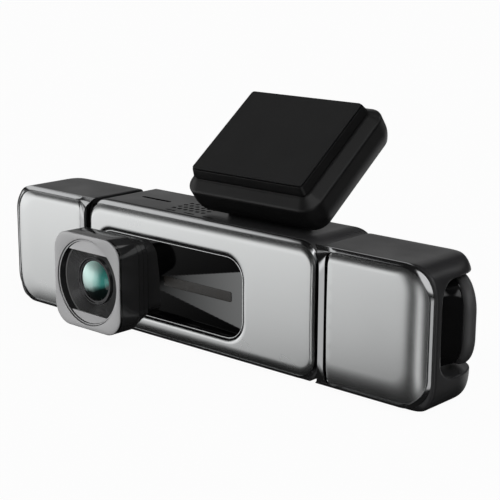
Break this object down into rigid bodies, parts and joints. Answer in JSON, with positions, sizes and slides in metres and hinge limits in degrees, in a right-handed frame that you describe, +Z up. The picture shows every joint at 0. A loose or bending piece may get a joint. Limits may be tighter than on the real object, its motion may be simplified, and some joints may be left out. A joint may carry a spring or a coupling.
{
  "type": "dash camera",
  "caption": "Bar-shaped windscreen dash camera with a square road camera, swivelling side cameras in its ends and a tilting adhesive mount.",
  "frame": {"origin": "on the underside of the bar, at the middle of the overall length and depth", "axes": "+X along the bar towards the right end pod, -Y towards the road, +Z up"},
  "size_m": [0.2042, 0.0674, 0.0891],
  "materials": {
    "deck_black": "semi-matte moulded black",
    "rear_black": "fine matte black",
    "bright_trim": "polished plated frame",
    "satin_silver": "satin silver-grey paint",
    "gloss_black": "high gloss black",
    "label_tan": "printed strip, left blank",
    "screen_glass": "black glass",
    "lcd": "dark display",
    "green_board": "solder mask green",
    "heat_metal": "bare",
    "capacitor_sleeve": "shrink sleeve",
    "dark_parts": "matte black",
    "sensor_metal": "nickel plated",
    "antenna_ceramic": "ceramic patch",
    "button_black": "satin black",
    "bezel_grey": "satin grey",
    "lens_trim": "dark anodised",
    "coated_glass": "green anti-reflection coating",
    "side_glass": "blue anti-reflection coating",
    "infrared_window": "dark red window",
    "side_black": "matte black",
    "steel": "turned",
    "washer_black": "friction washer",
    "mount_black": "fine matte black",
    "pad_foam": "acrylic foam pad"
  },
  "bodies": {
    "camera_bar": {"centre_shell": "deck_black", "rear_cover": "rear_black", "rear_cover_screws": "steel", "centre_rim": "bright_trim", "centre_plate": "satin_silver", "recess_panel": "gloss_black", "blank_label_strip": "label_tan", "display_glass": "screen_glass", "display_panel": "lcd", "main_board": "green_board", "heat_spreader": "heat_metal", "supercapacitors": "capacitor_sleeve", "speaker": "dark_parts", "microphone": "sensor_metal", "gnss_antenna": "antenna_ceramic", "card_socket": "sensor_metal", "power_inlet": "sensor_metal", "road_camera_body": "gloss_black", "road_camera_bezel": "bezel_grey", "bezel_segments": "bezel_grey", "ridged_cone": "dark_parts", "road_lens_ring": "lens_trim", "road_lens_glass": "coated_glass", "road_lens_barrel": "dark_parts", "road_sensor_board": "green_board", "right_joint_collar": "side_black", "right_pod_housing": "deck_black", "right_pod_rim": "bright_trim", "right_pod_plate": "satin_silver", "right_swivel_pins": "steel", "right_swivel_washers": "washer_black", "left_joint_collar": "side_black", "left_pod_housing": "deck_black", "left_pod_rim": "bright_trim", "left_pod_plate": "satin_silver", "left_swivel_pins": "steel", "left_swivel_washers": "washer_black", "mount_neck": "mount_black", "mount_neck_screws": "steel"},
    "mount_head_unit": {"mount_head": "mount_black", "mount_pad_plate": "mount_black", "adhesive_pad": "pad_foam", "hinge_pin": "steel", "hinge_washers": "washer_black"},
    "right_camera_unit": {"right_camera_drum": "gloss_black", "right_camera_bezel": "side_black", "right_lens_ring": "lens_trim", "right_lens_glass": "side_glass", "right_infrared_leds": "infrared_window", "right_sensor_board": "green_board"},
    "left_camera_unit": {"left_camera_drum": "gloss_black", "left_camera_bezel": "side_black", "left_lens_ring": "lens_trim", "left_lens_glass": "side_glass", "left_infrared_leds": "infrared_window", "left_sensor_board": "green_board"},
    "power_key": {"power_button": "button_black"},
    "record_key": {"record_button": "button_black"},
    "card": {"memory_card": "dark_parts"}
  },
  "joints": [
    {"name": "mount_tilt", "type": "hinge", "parent": "camera_bar", "child": "mount_head_unit", "pos_m": [0.021, 0.00153, 0.05743], "axis": [1, 0, 0], "range_deg": [-30, 12]},
    {"name": "right_camera_swivel", "type": "hinge", "parent": "camera_bar", "child": "right_camera_unit", "pos_m": [0.086, 0.00247, 0.027], "axis": [0, 0, 1], "range_deg": [-40, 30]},
    {"name": "left_camera_swivel", "type": "hinge", "parent": "camera_bar", "child": "left_camera_unit", "pos_m": [-0.086, 0.00247, 0.027], "axis": [0, 0, 1], "range_deg": [-30, 40]},
    {"name": "power_button_press", "type": "slide", "parent": "camera_bar", "child": "power_key", "axis": [0, -1, 0], "range_m": [0, 0.0005], "stiffness_N_per_m": 1500, "springref_m": -0.0003},
    {"name": "record_button_press", "type": "slide", "parent": "camera_bar", "child": "record_key", "axis": [0, -1, 0], "range_m": [0, 0.0005], "stiffness_N_per_m": 1500, "springref_m": -0.0003},
    {"name": "memory_card_eject", "type": "slide", "parent": "camera_bar", "child": "card", "axis": [0, 0, 1], "range_m": [0, 0.004]}
  ]
}
